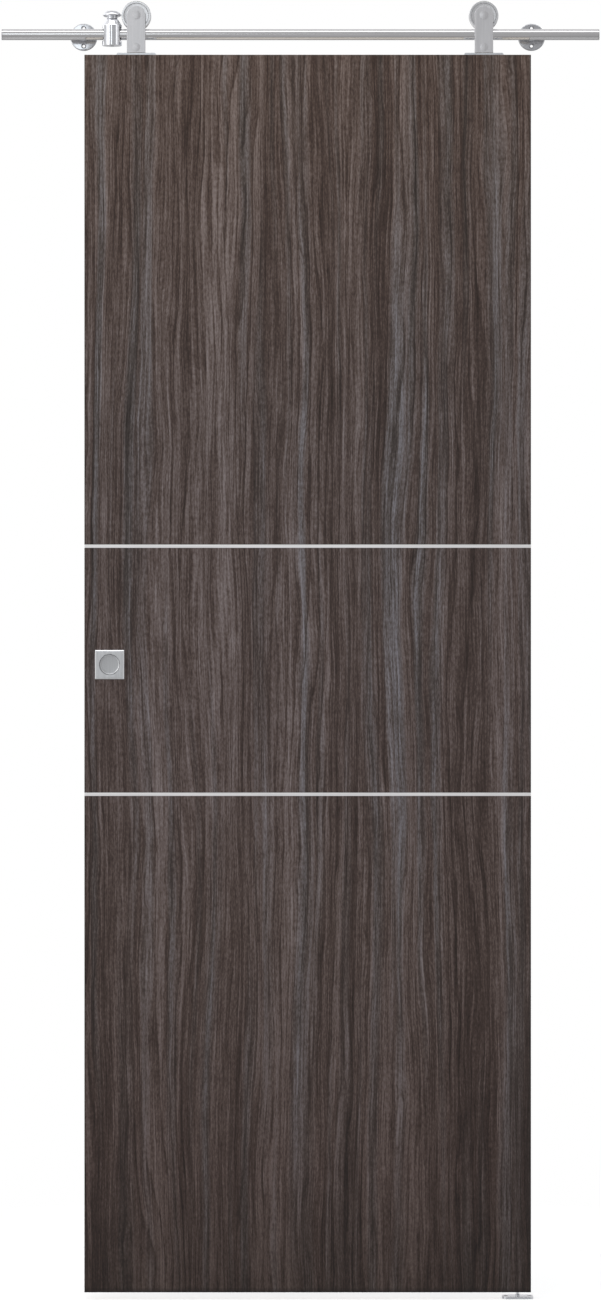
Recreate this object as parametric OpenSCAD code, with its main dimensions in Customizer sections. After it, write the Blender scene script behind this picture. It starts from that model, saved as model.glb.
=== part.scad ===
// Sliding door leaf hung on a short round rail, with its two hangers, one rail stop and a floor guide.
// X runs along the rail, Y into the wall and Z up. The origin lies on the wall's face, level with the
// rail's axis and midway between the two wall flanges.

/* [Leaf] */
// Width of the leaf
leaf_w = 770; // [700:1:900]
// Height of the leaf
leaf_h = 2134; // [1950:1:2300]
// Thickness of the leaf
leaf_t = 40; // [38:1:46]
// Thickness of each face board
skin_t = 4; // [3:0.5:5]
// Thickness of the edge bands
band_t = 1; // [0.5:0.5:1.5]
// Width of the stiles inside the leaf
stile_w = 22; // [18:1:23]
// Height of the top and bottom rails inside the leaf
cross_h = 100; // [70:1:140]
// Clear height under the leaf
floor_gap = 12; // [8:1:20]

/* [Inlaid strips] */
// Visible width of each strip
strip_w = 6; // [3:0.5:10]
// Depth that each strip is let into its face board
strip_t = 2.5; // [1:0.5:2.5]
// Height of the upper strip above the leaf's foot
strip_upper = 1286.6; // [1200:0.1:1400]
// Height of the lower strip above the leaf's foot
strip_lower = 858.8; // [700:0.1:950]

/* [Flush pulls] */
// Side of the square plate
pull_w = 50; // [46:1:60]
// How far the plate stands off the face
pull_proud = 1.8; // [1:0.1:3]
// Diameter of the finger cup
cup_d = 36; // [30:1:36]
// Depth of the finger cup below the leaf's face
cup_depth = 11; // [8:0.5:12]
// Distance of the cup's axis from the leaf's edge
pull_in = 43.5; // [43:0.5:60]
// Height of the cup's axis above the leaf's foot
pull_h = 1082.4; // [1000:0.1:1150]

/* [Rail and wall brackets] */
// Outer diameter of the rail tube
rail_d = 19; // [18:0.5:20]
// Wall thickness of the rail tube
rail_wall = 2; // [1.5:0.5:3]
// Distance of the rail's axis from the wall
standoff = 43; // [42:1:60]
// How far each bracket's axis lies outside the leaf's edge
bracket_out = 3.5; // [0:0.5:20]
// Length of rail past the left bracket
rail_past_left = 140.5; // [40:0.5:200]
// Length of rail past the right bracket
rail_past_right = 115.5; // [60:0.5:200]
// Diameter of the wall flanges
flange_d = 47; // [45:1:60]
// Distance between the two wall screws of a flange
flange_holes = 31; // [30:1:33]
// Diameter of the wall screw holes
wall_hole_d = 5; // [4:0.5:6]

/* [Hangers] */
// Distance of the left hanger from the leaf's edge
hanger_left_in = 89; // [85:1:140]
// Distance of the right hanger from the leaf's edge
hanger_right_in = 81; // [60:1:140]
// Height of the rail's axis above the leaf's top
leaf_drop = 37; // [35:1:50]
// Outer diameter of the wheels
wheel_d = 51; // [50:1:54]
// Width of the wheels
wheel_w = 18; // [17:1:18]
// Width of the straps
strap_w = 32; // [28:1:36]
// Thickness of the straps
strap_t = 5; // [4:0.5:5]
// Length of the feet along the leaf
foot_l = 68; // [64:1:80]

/* [Rail stop] */
// Diameter of the stop's body
stop_d = 34; // [30:1:36]
// Diameter of the stop's knob
knob_d = 32; // [28:1:36]

/* [Floor guide] */
// Length of the guide's plate
guide_l = 53.5; // [52:0.5:70]
// Depth of the guide's plate
guide_w = 36; // [30:1:40]
// Distance between the two floor screws
guide_holes = 40; // [38:1:44]
// Distance of the guide pin from the leaf's edge
guide_in = 22.5; // [20:0.5:60]
// Diameter of the guide pin
pin_d = 5; // [4:0.5:6]
// Depth of the groove under the leaf
groove_h = 18; // [14:1:24]

/* [Hidden] */
$fn = 96;
tiny = 0.01;       // overshoot of a cut past a face
play = 0.05;       // radial clearance of a running fit
snug = 0.02;       // radial clearance of a part that is pressed or screwed home

// the leaf
half_w = leaf_w / 2;
leaf_top = -leaf_drop;
leaf_foot = leaf_top - leaf_h;
face_y = -standoff - leaf_t / 2;
back_y = -standoff + leaf_t / 2;
core_y = face_y + skin_t;
core_t = leaf_t - 2 * skin_t;
core_x = half_w - band_t;
inner_x = core_x - stile_w;
inner_top = leaf_top - cross_h;
inner_foot = leaf_foot + cross_h;
groove_w = pin_d + 2;

// the flush pulls and the block behind them
pull_x = -half_w + pull_in;
pull_z = leaf_foot + pull_h;
pull_bevel = 2.5;
pull_bevel_h = 1;
cup_wall = 1;
cup_corner = 4;
block_w = 70;
block_h = 200;
block_x = -inner_x + block_w;
tube_d = 22;
tube_pitch = 30;

// the rail and its brackets
rail_r = rail_d / 2;
bore_r = rail_r - rail_wall;
bracket_x = half_w + bracket_out;
rail_x0 = -bracket_x - rail_past_left;
rail_x1 = bracket_x + rail_past_right;
cap_t = 2;
cap_plug = 12;
flange_t = 5;
flange_bevel = 1.5;
post_r = 8;
neck_r = 5.5;
post_seat = 1.5;
post_end = -standoff + rail_r + 1;
bolt_r = 3;
bolt_hole_r = 3.3;
bolt_head_r = 6;
bolt_head_h = 3.3;
nut_r = 6;

// the hangers and wheels
hanger_left = -half_w + hanger_left_in;
hanger_right = half_w - hanger_right_in;
roll_r = 22.5;
wheel_z = rail_r + roll_r;
wheel_r = wheel_d / 2;
groove_gap = 0.3;
wheel_front = -standoff - wheel_w / 2;
strap_gap = 2.5;
strap_back = wheel_front - strap_gap;
strap_front = strap_back - strap_t;
strap_bevel = 0.6;
foot_w = 30;
foot_t = 4;
foot_bevel = 2;
foot_top = leaf_top + foot_t;
lug_l = 30;
lug_top = -rail_r - 3.5;
lug_back = -standoff + 11.5;
strap_rivet_z = leaf_top + 13.6;
wood_screw_x = 24.5;
wood_screw_r = 2.5;
wood_screw_l = 60;
axle_r = 4;
axle_head_r = 7.5;
axle_nut_h = 6.5;
axle_nut_w = 13;
axle_nut_y = -standoff + wheel_w / 2 + 0.5;
spacer_r = 6;

// the ball bearings
bearing_r = 11;
bearing_w = 7;
shoulder_r = 9.5;
inner_race_r = 6.05;
outer_race_r = 9;
ball_r = 1.98;
ball_ring_r = 7.5;
balls = 7;

// the rail stop
stop_x = hanger_left - wheel_r - knob_d / 2 - 0.5;
stop_foot = -rail_r - 10;
stop_shoulder = 15.4;
stop_top = 27.8;
stop_neck_r = 9.5;
stop_flat_x = 14;
stop_flat_r = 12.5;
stem_r = 4;
pad_t = 1.6;
knob_gap = 0.1;
knob_z = 30;
knob_rim = 33.5;
knob_top = 40.4;
knob_flat_r = 10;

// the floor guide
guide_x = half_w - guide_in;
floor_z = leaf_foot - floor_gap;
guide_t = 4;
guide_corner = 8;
collar_z = floor_z + guide_t;
collar_r = 4;
collar_h = 3;
pin_top = leaf_foot + groove_h - 4;

// ---- shared shapes ----

// A box given by its two corners
module span(low, high) {
    translate(low) cube(high - low);
}

// A cylinder along +Y that starts at y0
module y_rod(x, z, y0, y1, r) {
    translate([x, y0, z]) rotate([-90, 0, 0]) cylinder(h = y1 - y0, r = r);
}

// A turned shape about an axis along +Y: its outline is drawn as [radius, distance along Y]
module y_turned(x, z) {
    translate([x, 0, z]) rotate([-90, 0, 0]) rotate_extrude() children();
}

// The rail's outside, r thick, along the whole of a cut
module rail_space(r) {
    translate([rail_x0 - 1, -standoff, 0]) rotate([0, 90, 0]) cylinder(h = rail_x1 - rail_x0 + 2, r = r);
}

// A plain domed head on the +Z side of the origin
module dome_head(r, rim, rise) {
    curve = (r * r + rise * rise) / (2 * rise);
    cylinder(h = rim, r = r);
    intersection() {
        translate([0, 0, rim + rise - curve]) sphere(r = curve);
        translate([0, 0, rim - tiny]) cylinder(h = rise + 1, r = r);
    }
}

// A countersink that is widest at z = 0 and narrows downwards
module countersink(r, wide_r) {
    translate([0, 0, -(wide_r - r)]) cylinder(h = wide_r - r + tiny, r1 = r, r2 = wide_r + tiny);
}

// ---- rail and wall brackets ----

module rail() {
    color([0.72, 0.73, 0.74]) difference() {
        translate([rail_x0 + cap_t, -standoff, 0]) rotate([0, 90, 0])
            cylinder(h = rail_x1 - rail_x0 - 2 * cap_t, r = rail_r);
        rail_space(bore_r);
        for (x = [-bracket_x, bracket_x]) y_rod(x, 0, -standoff, -standoff + rail_r + 1, bolt_hole_r);
    }
}

// side is -1 for the left end and 1 for the right end
module end_cap(side) {
    x = side < 0 ? rail_x0 : rail_x1;
    color([0.66, 0.67, 0.68]) translate([x, -standoff, 0]) rotate([0, -90 * side, 0]) rotate_extrude()
        polygon([[0, 0], [rail_r - 0.6, 0], [rail_r, 0.6], [rail_r, cap_t], [bore_r - snug, cap_t],
                 [bore_r - snug, cap_plug - 1], [bore_r - 1, cap_plug], [0, cap_plug]]);
}

// Two half-round nuts that lie inside the tube, against its rear wall
module rail_nuts() {
    color([0.6, 0.6, 0.6]) for (x = [-bracket_x, bracket_x]) difference() {
        intersection() {
            translate([x - nut_r, -standoff, 0]) rotate([0, 90, 0])
                cylinder(h = 2 * nut_r, r = bore_r - snug);
            y_rod(x, 0, -standoff, -standoff + rail_r, nut_r);
        }
        y_rod(x, 0, -standoff - 1, -standoff + rail_r, bolt_r + snug);
    }
}

module flange(x) {
    color([0.62, 0.63, 0.64]) difference() {
        y_turned(x, 0) polygon([
            [bolt_hole_r, 0], [flange_d / 2 - 0.4, 0], [flange_d / 2, -0.4],
            [flange_d / 2, -flange_t + flange_bevel], [flange_d / 2 - flange_bevel, -flange_t],
            [bolt_hole_r, -flange_t]
        ]);
        y_rod(x, 0, -flange_t - tiny, -flange_t + post_seat, post_r + snug);
        translate([x, 0, 0]) rotate([-90, 0, 0]) countersink(bolt_r, bolt_head_r + snug);
        for (z = [-flange_holes / 2, flange_holes / 2]) {
            y_rod(x, z, -flange_t - 1, 1, wall_hole_d / 2);
            translate([x, -flange_t, z]) rotate([90, 0, 0])
                countersink(wall_hole_d / 2, wall_hole_d / 2 + 2);
        }
    }
}

// The standoff is coped to the rail, and narrows to a neck that the wheels pass over
module standoff(x) {
    color([0.7, 0.71, 0.72]) difference() {
        y_turned(x, 0) polygon([
            [bolt_hole_r, -flange_t + post_seat], [post_r, -flange_t + post_seat], [post_r, post_end + 1],
            [post_r - 1, post_end], [neck_r, post_end], [neck_r, -standoff], [bolt_hole_r, -standoff]
        ]);
        rail_space(rail_r + snug);
    }
}

module rail_bolt(x) {
    color([0.45, 0.45, 0.46]) difference() {
        y_turned(x, 0) polygon([
            [0, 0], [bolt_head_r, 0], [bolt_r, -bolt_head_h + 0.3], [bolt_r, -standoff + 0.5],
            [bolt_r - 0.5, -standoff], [0, -standoff]
        ]);
        translate([x, 0, 0]) rotate([-90, 0, 0]) translate([0, 0, -2]) cylinder(h = 3, r = 2.3, $fn = 6);
    }
}

// ---- rail stop ----

module stop_body() {
    color([0.74, 0.75, 0.77]) difference() {
        translate([stop_x, -standoff, 0]) rotate_extrude() polygon([
            [0, stop_foot], [stop_d / 2 - 1, stop_foot], [stop_d / 2, stop_foot + 1],
            [stop_d / 2, stop_shoulder], [stop_d / 2 - 0.6, stop_shoulder + 1.4],
            [stop_neck_r + 0.6, stop_top - 1], [stop_neck_r, stop_top], [0, stop_top]
        ]);
        rail_space(rail_r + play);
        for (side = [-1, 1]) translate([stop_x + side * stop_flat_x, -standoff, 0])
            rotate([0, 90 * side, 0]) cylinder(h = stop_d, r = stop_flat_r);
        translate([stop_x, -standoff, 0]) cylinder(h = stop_top + 1, r = stem_r + play);
    }
}

// Soft pad that the stem presses on the rail
module stop_pad() {
    color([0.15, 0.15, 0.15]) difference() {
        translate([stop_x, -standoff, 0]) cylinder(h = rail_r + pad_t, r = stem_r - snug);
        rail_space(rail_r + play);
    }
}

// The knob and its threaded stem are one turned piece
module stop_knob() {
    edge = knob_d / 2;
    stem_z = rail_r + pad_t + knob_gap;
    color([0.76, 0.77, 0.79]) translate([stop_x, -standoff, 0]) rotate_extrude() polygon([
        [0, stem_z], [stem_r - 0.5, stem_z], [stem_r, stem_z + 0.5], [stem_r, stop_top + knob_gap],
        [stop_neck_r, stop_top + knob_gap], [stop_neck_r, knob_z], [edge - 3, knob_z],
        [edge - 0.6, knob_z + 1.6], [edge, knob_rim], [edge - 0.5, knob_rim + 1.5],
        [edge - 2.5, knob_top - 2.2], [knob_flat_r, knob_top], [0, knob_top]
    ]);
}

// ---- floor guide ----

module guide_plate() {
    reach = [guide_l / 2 - guide_corner, guide_w / 2 - guide_corner];
    color([0.7, 0.71, 0.72]) translate([guide_x, -standoff, floor_z]) difference() {
        linear_extrude(guide_t) {
            square([guide_l, guide_w - 2 * guide_corner], center = true);
            square([guide_l - 2 * guide_corner, guide_w], center = true);
            for (x = [-1, 1], y = [-1, 1]) translate([x * reach.x, y * reach.y]) circle(guide_corner);
        }
        translate([0, 0, -1]) cylinder(h = guide_t + 2, r = pin_d / 2 + snug);
        for (x = [-guide_holes / 2, guide_holes / 2]) {
            translate([x, 0, -1]) cylinder(h = guide_t + 2, r = wall_hole_d / 2);
            translate([x, 0, guide_t]) countersink(wall_hole_d / 2, wall_hole_d / 2 + 2);
        }
    }
}

module guide_pin() {
    color([0.75, 0.76, 0.77]) translate([guide_x, -standoff, 0]) rotate_extrude() polygon([
        [0, floor_z], [pin_d / 2, floor_z], [pin_d / 2, collar_z], [collar_r, collar_z],
        [collar_r, collar_z + collar_h - 0.5], [collar_r - 0.5, collar_z + collar_h],
        [pin_d / 2, collar_z + collar_h], [pin_d / 2, pin_top - 1], [pin_d / 2 - 1, pin_top], [0, pin_top]
    ]);
}

// ---- leaf ----

// A board of the leaf's inner frame, between the two face boards
module inner_board(x0, x1, z0, z1) {
    span([x0, core_y, z0], [x1, core_y + core_t, z1]);
}

module guide_groove() {
    span([-half_w - 1, -standoff - groove_w / 2, leaf_foot - 1],
         [half_w + 1, -standoff + groove_w / 2, leaf_foot + groove_h]);
}

// The round pocket that holds one pull's cup: side is -1 on the front face and 1 on the back
module cup_pocket(side) {
    deep = cup_depth + cup_wall + 0.2;
    y = side < 0 ? face_y : back_y;
    y_rod(pull_x, pull_z, min(y, y - side * deep), max(y, y - side * deep), cup_d / 2 + cup_wall + 0.1);
}

// The slots that the strips of one face are let into
module strip_slots(side) {
    y = side < 0 ? face_y : back_y;
    for (h = [strip_upper, strip_lower])
        span([-half_w - 1, min(y - side * strip_t, y + side), leaf_foot + h - strip_w / 2],
             [half_w + 1, max(y - side * strip_t, y + side), leaf_foot + h + strip_w / 2]);
}

module stile(side) {
    color([0.8, 0.66, 0.48])
        inner_board(side < 0 ? -core_x : inner_x, side < 0 ? -inner_x : core_x, inner_foot, inner_top);
}

module top_rail() {
    color([0.8, 0.66, 0.48]) difference() {
        inner_board(-core_x, core_x, inner_top, leaf_top);
        for (x = [hanger_left, hanger_right], side = [-1, 1])
            translate([x + side * wood_screw_x, -standoff, foot_top - wood_screw_l])
                cylinder(h = wood_screw_l, r = wood_screw_r + snug);
    }
}

module bottom_rail() {
    color([0.8, 0.66, 0.48]) difference() {
        inner_board(-core_x, core_x, leaf_foot, inner_foot);
        guide_groove();
    }
}

module pull_block() {
    color([0.8, 0.66, 0.48]) difference() {
        inner_board(-inner_x, block_x, pull_z - block_h / 2, pull_z + block_h / 2);
        for (side = [-1, 1]) cup_pocket(side);
    }
}

// A tubular core board: round tubes run through its whole height
module core(x0, x1, z0, z1) {
    count = floor((x1 - x0 - tube_pitch + tube_d) / tube_pitch);
    first = (x0 + x1) / 2 - (count - 1) * tube_pitch / 2;
    color([0.72, 0.6, 0.44]) difference() {
        inner_board(x0, x1, z0, z1);
        for (i = [0 : count - 1]) translate([first + i * tube_pitch, -standoff, z0 - 1])
            cylinder(h = z1 - z0 + 2, d = tube_d);
    }
}

module skin(side) {
    y = side < 0 ? face_y : back_y - skin_t;
    color([0.31, 0.28, 0.27]) difference() {
        span([-core_x, y, leaf_foot], [core_x, y + skin_t, leaf_top]);
        strip_slots(side);
        cup_pocket(side);
    }
}

module edge_band(side) {
    x = side < 0 ? -half_w : core_x;
    color([0.27, 0.25, 0.24]) difference() {
        span([x, face_y, leaf_foot], [x + band_t, back_y, leaf_top]);
        strip_slots(-1);
        strip_slots(1);
        guide_groove();
    }
}

module strip(side, height) {
    y = side < 0 ? face_y : back_y - strip_t;
    color([0.83, 0.82, 0.82])
        span([-half_w, y, leaf_foot + height - strip_w / 2],
             [half_w, y + strip_t, leaf_foot + height + strip_w / 2]);
}

// The bevelled plate of a pull, drawn about its centre and standing up from z = 0
module pull_plate() {
    half = pull_w / 2;
    slope = [[-half, 0], [half, 0], [half, pull_proud - pull_bevel_h], [half - pull_bevel, pull_proud],
             [-half + pull_bevel, pull_proud], [-half, pull_proud - pull_bevel_h]];
    intersection() {
        rotate([90, 0, 0]) translate([0, 0, -half]) linear_extrude(pull_w) polygon(slope);
        rotate([90, 0, 90]) translate([0, 0, -half]) linear_extrude(pull_w) polygon(slope);
    }
}

module pull(side) {
    cup_r = cup_d / 2;
    y = side < 0 ? face_y : back_y;
    color([0.63, 0.65, 0.66]) translate([pull_x, y, pull_z]) rotate([-90 * side, 0, 0]) difference() {
        union() {
            pull_plate();
            translate([0, 0, -cup_depth - cup_wall])
                cylinder(h = cup_depth + cup_wall + 1, r = cup_r + cup_wall);
        }
        translate([0, 0, -cup_depth]) rotate_extrude() {
            translate([0, cup_corner]) square([cup_r, cup_depth + pull_proud + 1 - cup_corner]);
            square([cup_r - cup_corner, cup_corner + 1]);
            intersection() {
                translate([cup_r - cup_corner, cup_corner]) circle(cup_corner);
                square([cup_r + 1, cup_corner + 1]);
            }
        }
    }
}

// ---- hangers ----

// The foot lies on the leaf's top edge, and its lug carries the strap and passes close under the rail
module hanger_foot(x) {
    half = foot_l / 2;
    color([0.7, 0.71, 0.72]) difference() {
        union() {
            translate([x, -standoff + foot_w / 2, 0]) rotate([90, 0, 0]) linear_extrude(foot_w) polygon([
                [-half, leaf_top], [half, leaf_top], [half, foot_top - foot_bevel],
                [half - foot_bevel, foot_top], [-half + foot_bevel, foot_top], [-half, foot_top - foot_bevel]
            ]);
            span([x - lug_l / 2, strap_back, foot_top - tiny], [x + lug_l / 2, lug_back, lug_top]);
        }
        for (side = [-1, 1]) translate([x + side * wood_screw_x, -standoff, foot_top]) {
            translate([0, 0, -foot_t - 1]) cylinder(h = foot_t + 2, r = wood_screw_r + play);
            countersink(wood_screw_r + play, wood_screw_r + 2);
        }
        y_rod(x, strap_rivet_z, strap_back - 1, lug_back - 4, bolt_r + snug);
    }
}

module foot_screws(x) {
    color([0.6, 0.6, 0.6]) for (side = [-1, 1]) difference() {
        translate([x + side * wood_screw_x, -standoff, foot_top]) rotate_extrude() polygon([
            [0, 0], [wood_screw_r + 1.9, 0], [wood_screw_r, -2], [wood_screw_r, -wood_screw_l + 8],
            [0.4, -wood_screw_l + 0.5], [0, -wood_screw_l + 0.5]
        ]);
        translate([x + side * wood_screw_x, -standoff, foot_top - 1.6]) cylinder(h = 3, r = 1.8, $fn = 6);
    }
}

module strap(x) {
    half = strap_w / 2;
    color([0.73, 0.74, 0.75]) difference() {
        union() {
            translate([x, 0, foot_top]) linear_extrude(wheel_z - foot_top) polygon([
                [-half, strap_back], [half, strap_back], [half, strap_front + strap_bevel],
                [half - strap_bevel, strap_front], [-half + strap_bevel, strap_front],
                [-half, strap_front + strap_bevel]
            ]);
            y_turned(x, wheel_z) polygon([
                [0, strap_front], [half - strap_bevel, strap_front], [half, strap_front + strap_bevel],
                [half, strap_back], [0, strap_back]
            ]);
        }
        y_rod(x, wheel_z, strap_front - 1, strap_back + 1, axle_r + play);
        y_rod(x, strap_rivet_z, strap_front - 1, strap_back + 1, bolt_r + play);
    }
}

module strap_rivet(x) {
    color([0.7, 0.7, 0.7]) translate([x, strap_front, strap_rivet_z]) rotate([90, 0, 0]) {
        dome_head(7, 0.6, 0.4);
        translate([0, 0, -14]) cylinder(h = 14 + 0.5, r = bolt_r);
    }
}

module axle(x) {
    color([0.75, 0.75, 0.75]) translate([x, strap_front, wheel_z]) rotate([90, 0, 0]) {
        dome_head(axle_head_r, 0.8, 0.5);
        translate([0, 0, -(axle_nut_y + axle_nut_h + 2 - strap_front)])
            cylinder(h = axle_nut_y + axle_nut_h + 2 - strap_front + 0.5, r = axle_r);
    }
}

// A plain sleeve on the axle, from y0 to y1
module sleeve(x, y0, y1, r) {
    difference() {
        y_rod(x, wheel_z, y0, y1, r);
        y_rod(x, wheel_z, y0 - 1, y1 + 1, axle_r + snug);
    }
}

module front_spacer(x) {
    color([0.55, 0.55, 0.56]) sleeve(x, strap_back, -standoff - bearing_w / 2, spacer_r);
}

module rear_spacer(x) {
    color([0.55, 0.55, 0.56]) sleeve(x, -standoff + bearing_w / 2, axle_nut_y, spacer_r);
}

module axle_nut(x) {
    color([0.55, 0.55, 0.56]) difference() {
        intersection() {
            translate([x, axle_nut_y, wheel_z]) rotate([-90, 0, 0])
                cylinder(h = axle_nut_h, r = axle_nut_w / 2 / cos(30), $fn = 6);
            y_turned(x, wheel_z) polygon([
                [0, axle_nut_y], [axle_nut_w / 2 + 0.3, axle_nut_y], [axle_nut_w / 2 + 2, axle_nut_y + 1],
                [axle_nut_w / 2 + 2, axle_nut_y + axle_nut_h - 1], [axle_nut_w / 2, axle_nut_y + axle_nut_h],
                [0, axle_nut_y + axle_nut_h]
            ]);
        }
        y_rod(x, wheel_z, axle_nut_y - 1, axle_nut_y + axle_nut_h + 1, axle_r + snug);
    }
}

// ---- wheels and bearings ----

// A bearing ring between two radii, with a raceway of its own radius cut for the balls
module bearing_ring(x, r0, r1, race_r) {
    color([0.66, 0.67, 0.68]) y_turned(x, wheel_z) difference() {
        translate([r0, -standoff - bearing_w / 2]) square([r1 - r0, bearing_w]);
        translate([ball_ring_r, -standoff]) circle(race_r, $fn = 48);
    }
}

module inner_ring(x) {
    bearing_ring(x, axle_r + snug, inner_race_r, ball_r + 0.32);
}

module outer_ring(x) {
    bearing_ring(x, outer_race_r, bearing_r, ball_r + snug);
}

module bearing_balls(x) {
    color([0.8, 0.8, 0.82]) for (i = [0 : balls - 1])
        translate([x, -standoff, wheel_z]) rotate([0, i * 360 / balls, 0]) translate([ball_ring_r, 0, 0])
            sphere(r = ball_r, $fn = 48);
}

module wheel(x) {
    side = wheel_w / 2;
    color([0.52, 0.54, 0.56]) y_turned(x, wheel_z) translate([0, -standoff]) difference() {
        polygon([
            [bearing_r + snug, -side + 1.5], [bearing_r + snug + 0.5, -side + 1], [13, -side + 1],
            [13, -side + 2], [21, -side + 2], [21.5, -side], [wheel_r - 0.8, -side], [wheel_r, -side + 0.8],
            [wheel_r, side - 0.8], [wheel_r - 0.8, side], [21.5, side], [21, side - 2],
            [13, side - 2], [13, side - 1], [shoulder_r, side - 1],
            [shoulder_r, bearing_w / 2], [bearing_r + snug, bearing_w / 2]
        ]);
        translate([wheel_z, 0]) circle(rail_r + groove_gap);
    }
}

// ---- what is drawn ----

rail();
end_cap(-1);  // end_cap_left
end_cap(1);  // end_cap_right
rail_nuts();
flange(-bracket_x);  // flange_left
flange(bracket_x);  // flange_right
standoff(-bracket_x);  // standoff_left
standoff(bracket_x);  // standoff_right
rail_bolt(-bracket_x);  // rail_bolt_left
rail_bolt(bracket_x);  // rail_bolt_right
guide_plate();
guide_pin();

stop_body();
stop_pad();
stop_knob();

stile(-1);  // stile_left
stile(1);  // stile_right
top_rail();
bottom_rail();
pull_block();
core(-inner_x, inner_x, pull_z + block_h / 2, inner_top);  // core_upper
core(block_x, inner_x, pull_z - block_h / 2, pull_z + block_h / 2);  // core_middle
core(-inner_x, inner_x, inner_foot, pull_z - block_h / 2);  // core_lower
skin(-1);  // front_skin
skin(1);  // back_skin
edge_band(-1);  // edge_band_left
edge_band(1);  // edge_band_right
strip(-1, strip_upper);  // front_strip_upper
strip(-1, strip_lower);  // front_strip_lower
strip(1, strip_upper);  // back_strip_upper
strip(1, strip_lower);  // back_strip_lower
pull(-1);  // front_pull
pull(1);  // back_pull

hanger_foot(hanger_left);  // hanger_foot_left
hanger_foot(hanger_right);  // hanger_foot_right
foot_screws(hanger_left);  // foot_screws_left
foot_screws(hanger_right);  // foot_screws_right
strap(hanger_left);  // strap_left
strap(hanger_right);  // strap_right
strap_rivet(hanger_left);  // strap_rivet_left
strap_rivet(hanger_right);  // strap_rivet_right
axle(hanger_left);  // axle_left
axle(hanger_right);  // axle_right
front_spacer(hanger_left);  // front_spacer_left
front_spacer(hanger_right);  // front_spacer_right
rear_spacer(hanger_left);  // rear_spacer_left
rear_spacer(hanger_right);  // rear_spacer_right
axle_nut(hanger_left);  // axle_nut_left
axle_nut(hanger_right);  // axle_nut_right
inner_ring(hanger_left);  // inner_ring_left
inner_ring(hanger_right);  // inner_ring_right

wheel(hanger_left);  // wheel_left
wheel(hanger_right);  // wheel_right
outer_ring(hanger_left);  // outer_ring_left
outer_ring(hanger_right);  // outer_ring_right
bearing_balls(hanger_left);  // balls_left
bearing_balls(hanger_right);  // balls_right
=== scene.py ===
import math

import bmesh
import bpy
from mathutils import Matrix, Vector


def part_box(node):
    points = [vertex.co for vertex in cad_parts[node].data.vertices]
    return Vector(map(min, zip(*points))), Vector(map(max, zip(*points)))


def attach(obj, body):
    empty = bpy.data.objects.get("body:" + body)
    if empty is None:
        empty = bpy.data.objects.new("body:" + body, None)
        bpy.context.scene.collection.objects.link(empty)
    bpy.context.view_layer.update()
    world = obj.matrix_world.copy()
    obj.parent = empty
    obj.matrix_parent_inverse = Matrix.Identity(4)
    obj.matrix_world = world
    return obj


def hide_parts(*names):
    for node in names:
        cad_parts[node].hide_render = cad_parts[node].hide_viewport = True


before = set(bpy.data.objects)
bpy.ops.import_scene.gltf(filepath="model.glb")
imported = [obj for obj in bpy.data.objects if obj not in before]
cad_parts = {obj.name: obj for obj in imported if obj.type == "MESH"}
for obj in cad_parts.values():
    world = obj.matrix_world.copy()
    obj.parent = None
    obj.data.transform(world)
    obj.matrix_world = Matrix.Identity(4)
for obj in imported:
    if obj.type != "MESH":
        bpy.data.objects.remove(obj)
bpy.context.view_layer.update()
mm = 0.001

# ---------------------------------------------------------------------------
# Frame inside the leaf
# Planed softwood stiles and rails, with a block behind the pulls and tubular chipboard in the fields.
# They are glued between the two face boards, so only the top and bottom rails are ever seen, edge on.
# ---------------------------------------------------------------------------


def tint(red, green, blue):
    """A colour given in the 0 to 255 values of a colour card, as the shader's linear colour"""
    return tuple(
        v / 12.92 if v <= 0.04045 else ((v + 0.055) / 1.055) ** 2.4
        for v in (red / 255, green / 255, blue / 255)
    ) + (1.0,)


def add(tree, kind, inputs=None, **settings):
    """One shader node. Each input is a value or another node's output"""
    node = tree.nodes.new(kind)
    for name, value in settings.items():
        setattr(node, name, value)
    for name, value in (inputs or {}).items():
        if isinstance(value, bpy.types.NodeSocket):
            tree.links.new(value, node.inputs[name])
        else:
            node.inputs[name].default_value = value
    return node


def calc(tree, operation, a, b=0.0, c=0.0):
    """The result of one sum on numbers or outputs"""
    return add(tree, "ShaderNodeMath", {0: a, 1: b, 2: c}, operation=operation).outputs[0]


def ramp(tree, value, stops):
    """A colour ramp through (place, colour) stops"""
    node = add(tree, "ShaderNodeValToRGB", {"Fac": value})
    elements = node.color_ramp.elements
    while len(elements) < len(stops):
        elements.new(1.0)
    for element, (place, colour) in zip(elements, stops):
        element.position = place
        element.color = colour
    return node.outputs["Color"]


def blend_colours(tree, share, a, b, blend="MIX"):
    """Colour a going over to colour b"""
    node = add(tree, "ShaderNodeMix", {"Factor": share}, data_type="RGBA", blend_type=blend)
    for name, value in (("A", a), ("B", b)):
        socket = [s for s in node.inputs if s.name == name and s.type == "RGBA"][0]
        if isinstance(value, bpy.types.NodeSocket):
            tree.links.new(value, socket)
        else:
            socket.default_value = value
    return [s for s in node.outputs if s.type == "RGBA"][0]


def noise(tree, place, scale, detail=1.0, rough=0.5):
    """Smooth noise between 0 and 1 at a place, stretched by a scale in cells per metre"""
    stretched = add(tree, "ShaderNodeMapping", {"Vector": place, "Scale": scale})
    return add(
        tree, "ShaderNodeTexNoise",
        {"Vector": stretched.outputs[0], "Scale": 1.0, "Detail": detail, "Roughness": rough},
        noise_dimensions="3D",
    ).outputs[0]


def new_material(name, **shader_values):
    """A material, with the values of its shader's own sockets"""
    material = bpy.data.materials.new(name)
    material.use_nodes = True
    shader = material.node_tree.nodes["Principled BSDF"]
    for key, value in shader_values.items():
        shader.inputs[key.replace("_", " ")].default_value = value
    return material, material.node_tree, shader


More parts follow.
